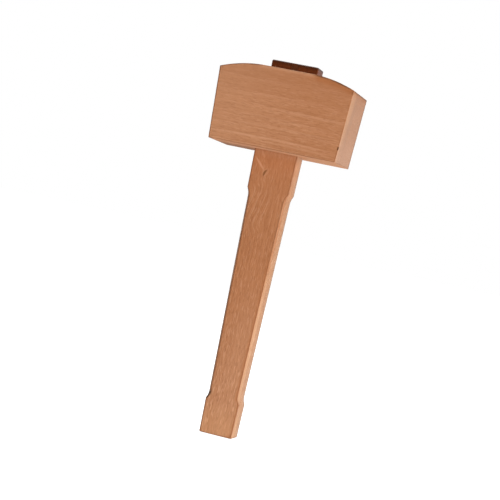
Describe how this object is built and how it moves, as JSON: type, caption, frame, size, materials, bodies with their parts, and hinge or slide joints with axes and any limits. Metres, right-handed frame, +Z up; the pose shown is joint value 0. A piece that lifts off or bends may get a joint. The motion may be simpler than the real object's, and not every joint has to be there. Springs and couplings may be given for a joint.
{
  "type": "wooden joiner's mallet",
  "caption": "Wooden mallet with a crowned rectangular head on a flat tapered handle, wedged through the head and standing proud of its top.",
  "frame": {"origin": "middle of the handle's foot end, which is the middle of the base of the mallet's box", "axes": "+Z up along the handle towards the head, X along the head's length from striking face to striking face, Y through the head's thickness"},
  "size_m": [0.1286, 0.065, 0.352],
  "materials": {
    "head_wood": "steamed beech, satin oiled",
    "handle_wood": "steamed beech, satin oiled, top end sealed dark brown",
    "wedge_wood": "dark hardwood, sealed"
  },
  "bodies": {
    "head": {"head": "head_wood"},
    "handle": {"handle": "handle_wood", "wedge": "wedge_wood"}
  },
  "joints": [
    {"name": "handle_slide", "type": "slide", "parent": "head", "child": "handle", "axis": [0, 0, 1], "range_m": [0, 0.345]}
  ]
}
